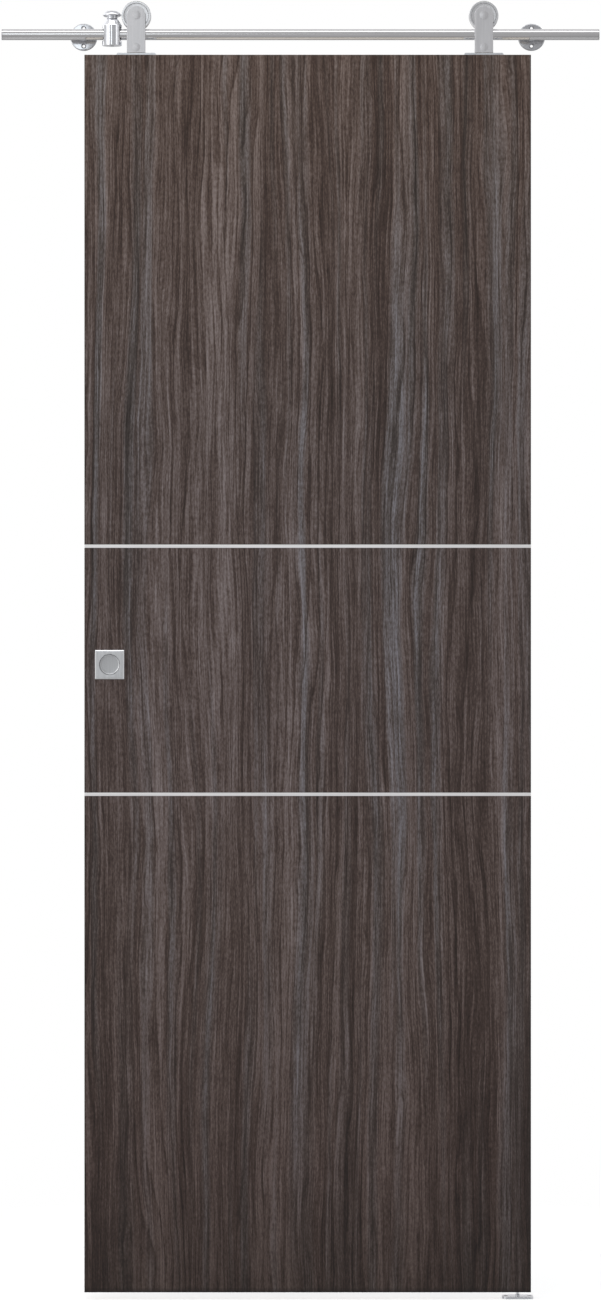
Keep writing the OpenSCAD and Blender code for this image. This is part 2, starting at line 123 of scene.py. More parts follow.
def roughen(tree, shader, height, depth, strength=0.5):
    """A bump of some depth, driven by a height between 0 and 1"""
    bump = add(tree, "ShaderNodeBump", {"Height": height, "Strength": strength, "Distance": depth})
    tree.links.new(bump.outputs[0], shader.inputs["Normal"])


def dress(material, *nodes):
    """The same material on CAD nodes that are shown as they are"""
    for name in nodes:
        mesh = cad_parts[name].data
        mesh.materials.clear()
        mesh.materials.append(material)


def softwood(name, stretch):
    """Planed and sealed spruce: very pale wood with soft growth lines, stretched along the board"""
    material, tree, shader = new_material(name, Roughness=0.6)
    place = add(tree, "ShaderNodeTexCoord").outputs["Object"]
    lines = noise(tree, place, stretch, 3.0)
    fibres = noise(tree, place, [v * 6 for v in stretch], 2.0)
    tone = calc(tree, "MULTIPLY_ADD", fibres, 0.3, calc(tree, "MULTIPLY", lines, 0.7))
    wood = ramp(tree, tone, [
        (0.32, tint(208, 200, 188)), (0.46, tint(226, 220, 210)), (0.62, tint(238, 233, 225)),
    ])
    tree.links.new(wood, shader.inputs["Base Color"])
    roughen(tree, shader, tone, 0.2 * mm)
    return material


def chipboard(name):
    """Pressed wood chips of mixed colour"""
    material, tree, shader = new_material(name, Roughness=0.8)
    place = add(tree, "ShaderNodeTexCoord").outputs["Object"]
    chips = add(tree, "ShaderNodeTexVoronoi", {"Vector": place, "Scale": 420.0}).outputs["Color"]
    wood = ramp(tree, chips, [
        (0.15, tint(120, 90, 58)), (0.50, tint(176, 142, 100)), (0.85, tint(208, 178, 134)),
    ])
    tree.links.new(wood, shader.inputs["Base Color"])
    roughen(tree, shader, chips, 0.3 * mm)
    return material


dress(softwood("spruce_across", (3.0, 160.0, 160.0)), "top_rail", "bottom_rail")
dress(softwood("spruce_upright", (160.0, 160.0, 3.0)), "stile_left", "stile_right", "pull_block")
dress(chipboard("tubular_chipboard"), "core_upper", "core_middle", "core_lower")

# ---------------------------------------------------------------------------
# Face boards of the leaf
# Two thin boards of pressed fibre, each faced with a grey-brown laminate that is printed and embossed
# with an upright wood grain. They are glued to the frame inside, and grooved for the inlaid strips.
# ---------------------------------------------------------------------------
leaf_low, leaf_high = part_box("front_strip_upper")
leaf_foot, leaf_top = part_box("front_skin")[0].z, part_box("front_skin")[1].z
leaf_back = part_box("back_skin")[1].y
leaf_width = leaf_high.x - leaf_low.x
leaf_height = leaf_top - leaf_foot
pull_centre = (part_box("front_pull")[0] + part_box("front_pull")[1]) / 2
pocket_r = 19.1
pocket_reach = 8
laminate_t = 0.6 * mm
overshoot = 2 * mm


def depth_in_leaf(tree, y):
    """How far a place lies below the nearer face of the leaf"""
    from_front = calc(tree, "SUBTRACT", y, leaf_low.y)
    from_back = calc(tree, "SUBTRACT", leaf_back, y)
    return calc(tree, "MINIMUM", from_front, from_back)


def laminate(name, on_fibre=True):
    """Grey-brown laminate with an upright grain, and on a board also the pressed fibre under it"""
    material, tree, shader = new_material(name, Roughness=0.5, Specular_IOR_Level=0.25)
    place = add(tree, "ShaderNodeTexCoord").outputs["Object"]
    x, y, z = add(tree, "ShaderNodeSeparateXYZ", {0: place}).outputs

    def spread(scale, weight, total, where=place, detail=1.0):
        """A total with noise added to it, spread evenly about nothing"""
        layer = calc(tree, "SUBTRACT", noise(tree, where, scale, detail), 0.5)
        return calc(tree, "MULTIPLY_ADD", layer, weight, total)

    # the grain's lines drift to and fro, and open into long flames
    across = calc(tree, "ADD", x, y)
    across = spread((5.0, 50.0, 0.9), 0.050, across)
    across = spread((17.0, 60.0, 2.6), 0.026, across)
    across = spread((50.0, 80.0, 8.0), 0.0075, across)
    across = spread((160.0, 90.0, 45.0), 0.0014, across)
    line = add(tree, "ShaderNodeCombineXYZ", {0: across, 1: y, 2: z}).outputs[0]

    # broad streaks that run the whole height, by their share of the width from the left edge
    share = calc(tree, "MULTIPLY_ADD", across, 1 / leaf_width, 0.5 - leaf_low.y / leaf_width)
    # the first stop, bright at the very left edge, is a painted highlight along that edge
    streaks = [
        (0.000, 0.72), (0.020, 0.42), (0.075, 0.40), (0.120, 0.36), (0.155, 0.72), (0.178, 0.66),
        (0.205, 0.34), (0.250, 0.58), (0.300, 0.64), (0.335, 0.36), (0.370, 0.50), (0.430, 0.36),
        (0.485, 0.66), (0.510, 0.40), (0.580, 0.56), (0.625, 0.62), (0.655, 0.34), (0.700, 0.88),
        (0.735, 0.60), (0.775, 0.36), (0.815, 0.66), (0.845, 0.38), (0.900, 0.34), (0.945, 0.50),
        (1.000, 0.28),
    ]
    broad = ramp(tree, share, [(p, (v, v, v, 1.0)) for p, v in streaks])
    tone = calc(tree, "MULTIPLY_ADD", broad, 0.28, 0.37)

    # growth lines: each darkens slowly and ends in a sharp edge, and they close round the flames
    growth = calc(tree, "MULTIPLY", across, 64.0)
    growth = spread((9.0, 30.0, 0.8), 6.0, growth)
    growth = spread((32.0, 50.0, 3.0), 1.6, growth)
    growth = spread((110.0, 60.0, 12.0), 0.40, growth)
    year = ramp(tree, calc(tree, "FRACT", growth), [
        (0.00, (0.46, 0.46, 0.46, 1)), (0.06, (0.62, 0.62, 0.62, 1)), (0.50, (0.54, 0.54, 0.54, 1)),
        (0.80, (0.34, 0.34, 0.34, 1)), (0.94, (0.00, 0.00, 0.00, 1)), (1.00, (0.46, 0.46, 0.46, 1)),
    ])
    calm = noise(tree, line, (16.0, 40.0, 0.7))
    calm = add(tree, "ShaderNodeMapRange", {0: calm, 1: 0.36, 2: 0.62, 3: 0.08, 4: 0.48}).outputs[0]
    year = calc(tree, "SUBTRACT", year, 0.46)
    tone = calc(tree, "MULTIPLY_ADD", year, calm, tone)

    # bands, lines and hair lines of the grain
    tone = spread((13.0, 50.0, 0.4), 0.40, tone, line)
    tone = spread((36.0, 70.0, 0.8), 0.26, tone, line)
    tone = spread((95.0, 90.0, 1.8), 0.30, tone, line)
    tone = spread((230.0, 90.0, 4.0), 0.46, tone, line)
    tone = spread((560.0, 90.0, 10.0), 0.62, tone, line)
    grain = tone

    # short upright pores, and the fine speckle of the print
    pores = noise(tree, line, (560.0, 200.0, 42.0), 2.0)
    pores = add(tree, "ShaderNodeMapRange", {0: pores, 1: 0.56, 2: 0.70}).outputs[0]
    tone = calc(tree, "MULTIPLY_ADD", pores, -0.14, tone)
    tone = spread((440.0, 300.0, 150.0), 0.56, tone, line, 2.0)
    tone = spread((40.0, 60.0, 36.0), 0.14, tone, line)

    warm = ramp(tree, tone, [
        (0.10, tint(36, 26, 22)), (0.36, tint(58, 46, 41)), (0.50, tint(75, 63, 58)),
        (0.64, tint(94, 83, 79)), (0.90, tint(122, 113, 111)),
    ])
    cool = ramp(tree, tone, [
        (0.10, tint(35, 28, 25)), (0.36, tint(56, 49, 46)), (0.50, tint(73, 66, 63)),
        (0.64, tint(93, 88, 88)), (0.90, tint(121, 119, 123)),
    ])
    cast = noise(tree, line, (48.0, 20.0, 0.7), 1.0)
    cast = add(tree, "ShaderNodeMapRange", {0: cast, 1: 0.48, 2: 0.70}).outputs[0]
    face = blend_colours(tree, cast, warm, cool)

    # painted shade, darker towards the foot, and painted light, lighter and warmer towards the top, with
    # a near-black line along the very foot; and painted shade along the cut edges
    height = calc(tree, "MULTIPLY_ADD", z, 1 / leaf_height, -leaf_foot / leaf_height)
    # painted shade and light by height: the colour multiplier falls towards the foot and rises towards
    # the top
    painted_height_shading = ramp(tree, height, [
        (0.0000, (0.10, 0.09, 0.09, 1.0)), (0.0008, (0.12, 0.11, 0.11, 1.0)),
        (0.0014, (0.42, 0.36, 0.33, 1.0)), (0.10, (0.63, 0.56, 0.54, 1.0)),
        (0.30, (0.92, 0.89, 0.89, 1.0)), (0.45, (1.02, 1.01, 1.04, 1.0)),
        (0.70, (1.07, 1.07, 1.09, 1.0)), (1.00, (1.20, 1.11, 1.02, 1.0)),
    ])
    face = blend_colours(tree, 1.0, face, painted_height_shading, "MULTIPLY")
    # painted shade along the two long edges, darkest within 1 mm of them
    margin = calc(tree, "SUBTRACT", leaf_width / 2, calc(tree, "ABSOLUTE", x))
    painted_edge_shade = add(tree, "ShaderNodeMapRange", {0: margin, 1: 1.0 * mm, 2: 2.0 * mm}).outputs[0]
    painted_edge_shade = ramp(tree, painted_edge_shade, [
        (0.0, (0.40, 0.38, 0.38, 1.0)), (1.0, (1.0, 1.0, 1.0, 1.0)),
    ])
    face = blend_colours(tree, 1.0, face, painted_edge_shade, "MULTIPLY")

    if on_fibre:
        inside = calc(tree, "GREATER_THAN", depth_in_leaf(tree, y), laminate_t)
        fibre = ramp(tree, noise(tree, place, (900.0, 900.0, 900.0), 3.0), [
            (0.35, tint(122, 104, 84)), (0.65, tint(158, 138, 114)),
        ])
        face = blend_colours(tree, inside, face, fibre)
    tree.links.new(face, shader.inputs["Base Color"])

    roughen(tree, shader, calc(tree, "MULTIPLY_ADD", pores, -0.6, grain), 0.25 * mm, 0.35)
    roughness = calc(tree, "MULTIPLY_ADD", tone, -0.16, 0.60)
    tree.links.new(roughness, shader.inputs["Roughness"])
    return material


def block(low, high):
    """A box between two corners"""
    low, high = Vector(low), Vector(high)
    mesh = bmesh.new()
    bmesh.ops.create_cube(mesh, size=1)
    bmesh.ops.scale(mesh, verts=mesh.verts, vec=high - low)
    bmesh.ops.translate(mesh, verts=mesh.verts, vec=(low + high) / 2)
    return mesh


def turned(outline, centre, axis, closed=False, steps=72):
    """What a lathe makes of an outline, given as (radius, place along the axis) in millimetres"""
    mesh = bmesh.new()
    centre, axis = Vector(centre), Vector(axis)
    side = axis.orthogonal().normalized()
    points = [mesh.verts.new(centre + (side * r + axis * d) * mm) for r, d in outline]
    pairs = list(zip(points, points[1:])) + ([(points[-1], points[0])] if closed else [])
    edges = [mesh.edges.new(pair) for pair in pairs]
    bmesh.ops.spin(
        mesh, geom=points + edges, cent=centre, axis=axis, angle=2 * math.pi, steps=steps,
        use_merge=True, use_duplicate=False,
    )
    bmesh.ops.remove_doubles(mesh, verts=mesh.verts, dist=0.001 * mm)
    bmesh.ops.recalc_face_normals(mesh, faces=mesh.faces)
    return mesh


def sharp_edges(mesh, angle=28):
    """The edges whose two faces meet at more than an angle in degrees"""
    return [
        e for e in mesh.edges
        if len(e.link_faces) == 2 and e.calc_face_angle() > math.radians(angle)
    ]


def ease(mesh, size, segments=2, angle=28):
    """Rounds the sharp edges off by a size"""
    bmesh.ops.bevel(
        mesh, geom=sharp_edges(mesh, angle), offset=size, segments=segments, profile=0.5,
        affect="EDGES", material=-1, clamp_overlap=True,
    )
    return mesh


def join(mesh, *others):
    """Several meshes as one"""
    for other in others:
        data = bpy.data.meshes.new("part")
        other.to_mesh(data)
        other.free()
        mesh.from_mesh(data)
        bpy.data.meshes.remove(data)
    return mesh


def cut(mesh, *tools):
    """A mesh with the shapes of other meshes cut out of it"""
    blanks = []
    for shape in (mesh, *tools):
        blank = bpy.data.objects.new("blank", bpy.data.meshes.new("blank"))
        shape.to_mesh(blank.data)
        shape.free()
        bpy.context.scene.collection.objects.link(blank)
        blanks.append(blank)
    for tool in blanks[1:]:
        blanks[0].modifiers.new("cut", "BOOLEAN").object = tool
    bpy.context.view_layer.update()
    done = bpy.data.meshes.new_from_object(
        blanks[0].evaluated_get(bpy.context.evaluated_depsgraph_get())
    )
    result = bmesh.new()
    result.from_mesh(done)
    for blank in blanks:
        bpy.data.objects.remove(blank)
    return result


def finish_piece(name, mesh, material, body, finish, *nodes, angle=34):
    """Makes a mesh a piece that moves with a body and stands for its CAD nodes"""
    bmesh.ops.remove_doubles(mesh, verts=mesh.verts, dist=0.005 * mm)
    bmesh.ops.recalc_face_normals(mesh, faces=mesh.faces)
    for face in mesh.faces:
        face.smooth = True
    for edge in sharp_edges(mesh, angle):
        edge.smooth = False
    data = bpy.data.meshes.new(name)
    mesh.to_mesh(data)
    mesh.free()
    data.materials.append(material)
    piece = bpy.data.objects.new(name, data)
    bpy.context.scene.collection.objects.link(piece)
    piece.modifiers.new("even_shading", "WEIGHTED_NORMAL").keep_sharp = True
    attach(piece, body)
    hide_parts(*nodes)
    return piece


def strip_grooves():
    """The shapes of the grooves that the inlaid strips lie in"""
    grooves = []
    for side, outward in (("front", -1), ("back", 1)):
        for level in ("upper", "lower"):
            low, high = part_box(f"{side}_strip_{level}")
            stretch = Vector((overshoot, 0, 0))
            out = Vector((0, outward * overshoot, 0))
            grooves.append(block(
                low - stretch + (out if outward < 0 else Vector()),
                high + stretch + (out if outward > 0 else Vector()),
            ))
    return grooves


grain_laminate = laminate("grain_laminate")
for side in ("front", "back"):
    low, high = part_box(f"{side}_skin")
    board = ease(block(low, high), 0.25 * mm)
    pocket = turned(
        [(0, -pocket_reach), (pocket_r, -pocket_reach), (pocket_r, pocket_reach), (0, pocket_reach)],
        (pull_centre.x, (low.y + high.y) / 2, pull_centre.z), (0, 1, 0),
    )
    board = cut(board, pocket, *strip_grooves())
    finish_piece(
        f"{side}_board", board, grain_laminate, "door", "wood_grain_laminate", f"{side}_skin",
    )

# ---------------------------------------------------------------------------
# Edge bands
# Thin upright bands of the same laminate, glued on the leaf's two long edges and trimmed flush.
# The strips run out through them, and the groove for the floor guide is open at both ends.
# ---------------------------------------------------------------------------
groove_low, groove_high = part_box("guide_pin")
groove_y = (groove_low.y + groove_high.y) / 2
groove_w = 7 * mm
groove_h = 18 * mm
band_laminate = laminate("band_laminate", on_fibre=False)
for side in ("left", "right"):
    low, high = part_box(f"edge_band_{side}")
    band = ease(block(low, high), 0.3 * mm)
    foot_groove = block(
        (low.x - overshoot, groove_y - groove_w / 2, low.z - overshoot),
        (high.x + overshoot, groove_y + groove_w / 2, low.z + groove_h),
    )
    band = cut(band, foot_groove, *strip_grooves())
    finish_piece(
        f"edge_band_{side}_fitted", band, band_laminate, "door", "edge_band", f"edge_band_{side}",
    )

# ---------------------------------------------------------------------------
# Inlaid strips
# Four flat bars of satin aluminium, glued into grooves across both faces, flush with the laminate.
# Their long edges are eased, which leaves a hair line of shadow on each side.
# ---------------------------------------------------------------------------


def metal(name, colour, roughness, stretch, marks=0.10, depth=0.01):
    """Bare metal with fine lines from its brushing or turning, and faint cloudy handling marks"""
    material, tree, shader = new_material(name, Metallic=1.0)
    place = add(tree, "ShaderNodeTexCoord").outputs["Object"]
    lines = noise(tree, place, stretch, 3.0, 0.6)
    clouds = noise(tree, place, (38.0, 38.0, 38.0), 3.0)
    worn = calc(tree, "MULTIPLY_ADD", lines, marks, roughness - marks / 2)
    worn = calc(tree, "MULTIPLY_ADD", calc(tree, "SUBTRACT", clouds, 0.5), marks, worn)
    tree.links.new(worn, shader.inputs["Roughness"])
    dark = tuple(v * 0.90 for v in colour[:3]) + (1.0,)
    light = tuple(min(1.0, v * 1.06) for v in colour[:3]) + (1.0,)
    tree.links.new(ramp(tree, lines, [(0.30, dark), (0.70, light)]), shader.inputs["Base Color"])
    roughen(tree, shader, lines, depth * mm, 0.3)
    return material


satin_aluminium = metal("satin_aluminium", tint(248, 246, 245), 0.38, (8.0, 900.0, 900.0))
joint_gap = 0.12 * mm
for side in ("front", "back"):
    for level in ("upper", "lower"):
        low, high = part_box(f"{side}_strip_{level}")
        gap = Vector((0, 0, joint_gap))
        strip = ease(block(low + gap, high - gap), 0.35 * mm)
        finish_piece(
            f"{side}_inlay_{level}", strip, satin_aluminium, "door", "aluminium_strip",
            f"{side}_strip_{level}",
        )

# ---------------------------------------------------------------------------
# Flush pulls
# A cast square plate with sloping edges and a round finger cup, one in each face, in satin chrome.
# The cup is let into a round pocket in the leaf, and two pins hold the plate down from inside the cup.
# ---------------------------------------------------------------------------
satin_chrome = metal("satin_chrome", tint(208, 209, 210), 0.30, (500.0, 500.0, 12.0), 0.08)
tree = satin_chrome.node_tree
shader = tree.nodes["Principled BSDF"]
place = add(tree, "ShaderNodeTexCoord").outputs["Object"]
y = add(tree, "ShaderNodeSeparateXYZ", {0: place}).outputs["Y"]
# painted shade: the base colour darkens with depth into the cup, to 0.84 of the plate's at 9 mm
painted_cup_shade = add(
    tree, "ShaderNodeMapRange", {0: depth_in_leaf(tree, y), 1: 0.0, 2: 9.0 * mm, 3: 1.0, 4: 0.84},
).outputs[0]
chrome_colour = shader.inputs["Base Color"].links[0].from_socket
tree.links.new(blend_colours(tree, 1.0, chrome_colour, painted_cup_shade, "MULTIPLY"), shader.inputs["Base Color"])
plate_proud = 1.8
slope_w = 2.5
slope_h = 1.0
slope_bend = 1.4
edge_drop = 0.12
cup_r = 18.0
cup_wall = 1.0
cup_depth = 11.0
cup_corner = 4.0
ring_steps = 64


def drawn_square(mesh, ring, half, place):
    """Draws a ring of edges out to a square, and gives the square's own edges"""
    drawn = bmesh.ops.extrude_edge_only(mesh, edges=ring)["geom"]
    loop = [v for v in drawn if isinstance(v, bmesh.types.BMVert)]
    for v in loop:
        v.co *= half * mm / max(abs(v.co.x), abs(v.co.y))
        v.co.z = place * mm
    return [
        e for e in drawn
        if isinstance(e, bmesh.types.BMEdge) and all(v in loop for v in e.verts)
    ]


for side, outward in (("front", -1), ("back", 1)):
    low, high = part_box(f"{side}_pull")
    half = (high.x - low.x) / 2 / mm
    shell_depth = cup_depth + cup_wall
    face_y = high.y - shell_depth * mm if outward < 0 else low.y + shell_depth * mm
    corner = [
        (cup_r - cup_corner + cup_corner * math.sin(a),
         -cup_depth + cup_corner - cup_corner * math.cos(a))
        for a in (math.radians(d) for d in range(0, 91, 15))
    ]
    lip = [
        (cup_r, plate_proud - 0.5), (cup_r + 0.15, plate_proud - edge_drop), (cup_r + 0.5, plate_proud),
    ]
    shell = [
        (cup_r + cup_wall, 0), (cup_r + cup_wall, -cup_depth - 0.4),
        (cup_r + 0.4, -shell_depth), (0, -shell_depth),
    ]
    pull = turned([(0, -cup_depth), *corner, *lip], (0, 0, 0), (0, 0, 1), steps=ring_steps)
    pull = join(pull, turned(shell, (0, 0, 0), (0, 0, 1), steps=ring_steps))
    open_edges = [e for e in pull.edges if e.is_boundary]
    mouth = [e for e in open_edges if e.verts[0].co.z > plate_proud / 2 * mm]
    skirt = [e for e in open_edges if e not in mouth]
    ring = mouth
    for reach, place in (
        (half - slope_w, plate_proud), (half - slope_bend, plate_proud - edge_drop),
        (half, plate_proud - slope_h), (half, 0),
    ):
        ring = drawn_square(pull, ring, reach, place)
    drawn_square(pull, skirt, half, 0)
    upright = Matrix.Rotation(math.radians(-90 * outward), 3, "X")
    bmesh.ops.rotate(pull, verts=pull.verts, cent=(0, 0, 0), matrix=upright)
    bmesh.ops.translate(pull, verts=pull.verts, vec=(pull_centre.x, face_y, pull_centre.z))
    finish_piece(
        f"{side}_flush_pull", pull, satin_chrome, "door", "pull_metal", f"{side}_pull", angle=20,
    )

# ---------------------------------------------------------------------------
# Hanger feet
# Each hanger stands on a flat steel foot that is screwed down into the leaf's top edge.
# A lug forged up from its middle carries the strap, and passes close under the rail.
# ---------------------------------------------------------------------------
close = 0.01 * mm
through = 30
bright_steel = metal("bright_steel", tint(214, 216, 219), 0.30, (300.0, 300.0, 300.0), 0.10)
zinc_plated = metal("zinc_plated", tint(188, 190, 194), 0.34, (600.0, 600.0, 600.0), 0.16)
foot_t = 4.0
lug_half = 15.0
lug_behind = 11.5
end_chamfer = 2.0
wood_screw_x = 24.5
wood_screw_l = 59.5
shank_r = 2.4
core_r = 1.7
thread_r = 2.45
thread_turns = 26
thread_pitch = 1.9


def hexagon(centre, axis, across, reach):
    """A hexagonal bar that reaches as far to both sides of a centre, in millimetres"""
    mesh = bmesh.new()
    corner = across / math.sqrt(3) * mm
    bmesh.ops.create_cone(
        mesh, cap_ends=True, segments=6, radius1=corner, radius2=corner, depth=2 * reach * mm
    )
    aim = Vector((0, 0, 1)).rotation_difference(Vector(axis)).to_matrix()
    bmesh.ops.rotate(mesh, verts=mesh.verts, cent=(0, 0, 0), matrix=aim)
    bmesh.ops.translate(mesh, verts=mesh.verts, vec=centre)
    return mesh


def countersink(centre, axis, r, wide_r):
    """The seat of a countersunk head, widest at the centre, with the hole that goes on along the axis"""
    return turned(
        [(0, -1), (wide_r + 1, -1), (r, wide_r - r), (r, through), (0, through)], centre, axis, steps=48
    )


for side in ("left", "right"):
    low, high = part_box(f"hanger_foot_{side}")
    strap_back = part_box(f"strap_{side}")[1].y
    middle = Vector(((low.x + high.x) / 2, (low.y + high.y) / 2, low.z + foot_t * mm))
    lug_back = middle.y + lug_behind * mm
    foot = block(low, (high.x, high.y, middle.z))
    for place, normal in (
        ((middle.x - lug_half * mm, 0, 0), (1, 0, 0)),
        ((middle.x + lug_half * mm, 0, 0), (1, 0, 0)),
        ((0, strap_back, 0), (0, 1, 0)), ((0, lug_back, 0), (0, 1, 0)),
    ):
        everything = foot.verts[:] + foot.edges[:] + foot.faces[:]
        bmesh.ops.bisect_plane(foot, geom=everything, plane_co=place, plane_no=normal)
    foot.normal_update()
    centre_top = [
        f for f in foot.faces
        if f.normal.z > 0.9 and abs(f.calc_center_median().x - middle.x) < lug_half * mm
        and strap_back < f.calc_center_median().y < lug_back
    ]
    lug = bmesh.ops.extrude_face_region(foot, geom=centre_top)["geom"]
    lug_verts = [v for v in lug if isinstance(v, bmesh.types.BMVert)]
    bmesh.ops.translate(foot, verts=lug_verts, vec=(0, 0, high.z - middle.z))
    bmesh.ops.delete(foot, geom=[f for f in centre_top if f.is_valid], context="FACES_ONLY")
    half_l = (high.x - low.x) / 2
    ends = [
        e for e in foot.edges
        if all(
            v.co.z > middle.z - close and abs(abs(v.co.x - middle.x) - half_l) < close
            for v in e.verts
        )
    ]
    bmesh.ops.bevel(
        foot, geom=ends, offset=end_chamfer * mm, segments=1, profile=0.5, affect="EDGES", material=-1
    )
    ease(foot, 0.35 * mm)
    seats = [
        countersink(middle + Vector((way * wood_screw_x * mm, 0, 0)), (0, 0, -1), 2.6, 4.6)
        for way in (-1, 1)
    ]
    foot = cut(foot, *seats)
    finish_piece(
        f"hanger_foot_{side}_forged", foot, bright_steel, "door", "hanger_steel", f"hanger_foot_{side}",
    )

    screws = bmesh.new()
    for way in (-1, 1):
        place = middle + Vector((way * wood_screw_x * mm, 0, 0))
        thread = [
            point for turn in range(thread_turns)
            for point in ((thread_r, -6 - turn * thread_pitch), (core_r, -6.95 - turn * thread_pitch))
        ]
        screw = turned(
            [(0, -0.15), (4.0, -0.15), (4.3, -0.4), (shank_r, -2.2), (shank_r, -5.0), (core_r, -5.1),
             *thread, (1.6, -56), (0, -wood_screw_l)],
            place, (0, 0, 1), steps=32,
        )
        join(screws, cut(screw, hexagon(place, (0, 0, 1), 3.6, 1.7)))
    finish_piece(
        f"wood_screws_{side}", screws, zinc_plated, "door", "plated_steel", f"foot_screws_{side}",
    )

# ---------------------------------------------------------------------------
# Straps, axles and rivets
# A flat steel strap with a round top stands in front of each wheel, and is riveted to the foot's lug.
# The axle is a domed bolt through strap, spacers and bearing, held by a locking nut behind.
# ---------------------------------------------------------------------------
satin_strap = metal("satin_strap", tint(209, 208, 209), 0.34, (240.0, 240.0, 14.0), 0.08)
strap_edge_r = 0.7
axle_r = 4.0
axle_core_r = 3.6
sleeve_r = 6.0
sleeve_bore_r = 4.05
nut_across = 13.0
nut_half = 2.4
nut_bore_r = 3.95


def button(radius, rim, rise):
    """The outline of a domed head, from its middle out to its foot at place 0, with the rim below"""
    curve = (radius * radius + rise * rise) / (2 * rise)
    arc = [radius * step / 8 for step in range(9)]
    return [(q, -rim - math.sqrt(curve * curve - q * q) + curve - rise) for q in arc] + [(radius, 0)]


for side in ("left", "right"):
    low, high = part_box(f"strap_{side}")
    half = (high.x - low.x) / 2
    wheel_middle = Vector(((low.x + high.x) / 2, low.y, high.z - half))
    strap = bmesh.new()
    first = strap.verts.new((high.x, low.y, wheel_middle.z))
    arc = bmesh.ops.spin(
        strap, geom=[first], cent=wheel_middle, axis=(0, -1, 0), angle=math.pi, steps=48
    )["geom_last"]
    last = [v for v in arc if isinstance(v, bmesh.types.BMVert)][0]
    foot_right = strap.verts.new((high.x, low.y, low.z))
    foot_left = strap.verts.new((low.x, low.y, low.z))
    for pair in ((first, foot_right), (foot_right, foot_left), (foot_left, last)):
        strap.edges.new(pair)
    face = bmesh.ops.contextual_create(strap, geom=strap.edges[:])["faces"]
    body = bmesh.ops.extrude_face_region(strap, geom=face)["geom"]
    bmesh.ops.translate(
        strap, verts=[v for v in body if isinstance(v, bmesh.types.BMVert)], vec=(0, high.y - low.y, 0)
    )
    bmesh.ops.recalc_face_normals(strap, faces=strap.faces)
    front_rim = [e for e in sharp_edges(strap) if all(v.co.y < low.y + close for v in e.verts)]
    bmesh.ops.bevel(
        strap, geom=front_rim, offset=strap_edge_r * mm, segments=3, profile=0.5, affect="EDGES",
        material=-1,
    )
    finish_piece(f"strap_{side}_flat", strap, satin_strap, "door", "hanger_steel", f"strap_{side}")

    end = (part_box(f"axle_{side}")[1].y - low.y) / mm
    thread = [
        point for turn in range(2)
        for point in ((axle_r, end - 3.2 + turn), (axle_core_r, end - 2.7 + turn))
    ]
    axle = turned(
        [*button(7.5, 0.8, 0.5), (axle_r, 0), *thread, (axle_r, end - 1.0), (3.3, end), (0, end)],
        wheel_middle, (0, 1, 0),
    )
    finish_piece(f"axle_bolt_{side}", axle, satin_strap, "door", "hanger_steel", f"axle_{side}")

    rivet_low, rivet_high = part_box(f"strap_rivet_{side}")
    rivet_place = Vector((wheel_middle.x, low.y, (rivet_low.z + rivet_high.z) / 2))
    end = (rivet_high.y - low.y) / mm
    rivet = turned(
        [*button(7.0, 0.6, 0.4), (3, 0), (3, end - 0.6), (2.4, end), (0, end)],
        rivet_place, (0, 1, 0),
    )
    finish_piece(
        f"domed_rivet_{side}", rivet, satin_strap, "door", "hanger_steel", f"strap_rivet_{side}",
    )

    for place in ("front", "rear"):
        low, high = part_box(f"{place}_spacer_{side}")
        ends = [(low.y - wheel_middle.y) / mm, (high.y - wheel_middle.y) / mm]
        sleeve = turned(
            [(sleeve_bore_r, ends[0]), (sleeve_r, ends[0]), (sleeve_r, ends[1]),
             (sleeve_bore_r, ends[1])],
            wheel_middle, (0, 1, 0), closed=True,
        )
        finish_piece(
            f"{place}_sleeve_{side}", ease(sleeve, 0.3 * mm), zinc_plated, "door", "plated_steel",
            f"{place}_spacer_{side}",
        )

    low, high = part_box(f"axle_nut_{side}")
    middle = Vector((wheel_middle.x, low.y + nut_half * mm, wheel_middle.z))
    nut = hexagon(middle, (0, 1, 0), nut_across, nut_half)
    chamfers = [
        turned(
            [(6.4, -0.1), (9, -0.1), (9, 1.5)],
            middle + Vector((0, way * -nut_half * mm, 0)), (0, way, 0), closed=True,
        )
        for way in (-1, 1)
    ]
    thread = turned([(0, -9), (nut_bore_r, -9), (nut_bore_r, 9), (0, 9)], middle, (0, 1, 0))
    nut = cut(nut, *chamfers, thread)
    collar = turned(
        [(nut_bore_r, 2.3), (6.0, 2.3), (6.0, 3.6), (5.5, 4.1), (4.6, 4.1), (4.3, 3.8),
         (nut_bore_r, 3.8)],
        middle, (0, 1, 0), closed=True,
    )
    finish_piece(
        f"lock_nut_{side}", join(nut, ease(collar, 0.12 * mm)), zinc_plated, "door", "plated_steel",
        f"axle_nut_{side}",
    )

# ---------------------------------------------------------------------------
# Wheels and ball bearings
# A solid turned steel wheel with a round groove that sits over the rail and a recess in each face.
# A ball bearing is pressed into it from behind, and its inner ring is clamped on the axle.
# ---------------------------------------------------------------------------
turned_steel = metal("turned_steel", tint(214, 214, 215), 0.26, (260.0, 260.0, 260.0), 0.04, 0.002)
bearing_steel = metal("bearing_steel", tint(200, 202, 206), 0.16, (500.0, 500.0, 500.0), 0.06)
rail_low, rail_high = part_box("rail")
rail_r = (rail_high.z - rail_low.z) / 2
groove_play = 0.3
bearing_r = 11.0
bearing_half = 3.5
outer_ring_bore_r = 9.0
inner_ring_r = 6.05
ball_ring_r = 7.5
ball_r = 1.98
balls = 7
recess_r = 21.5
web_r = 20.6
boss_r = 13.0
rear_bore_r = 9.5


def race(ring_r, curve, side):
    """The part of a ball's groove that is cut into a ring: its outline from one edge to the other"""
    reach = math.degrees(math.acos(abs(ring_r - ball_ring_r) / curve))
    return [
        (ball_ring_r + side * curve * math.cos(math.radians(a)), curve * math.sin(math.radians(a)))
        for a in (reach * step / 4 for step in range(-4, 5))
    ]


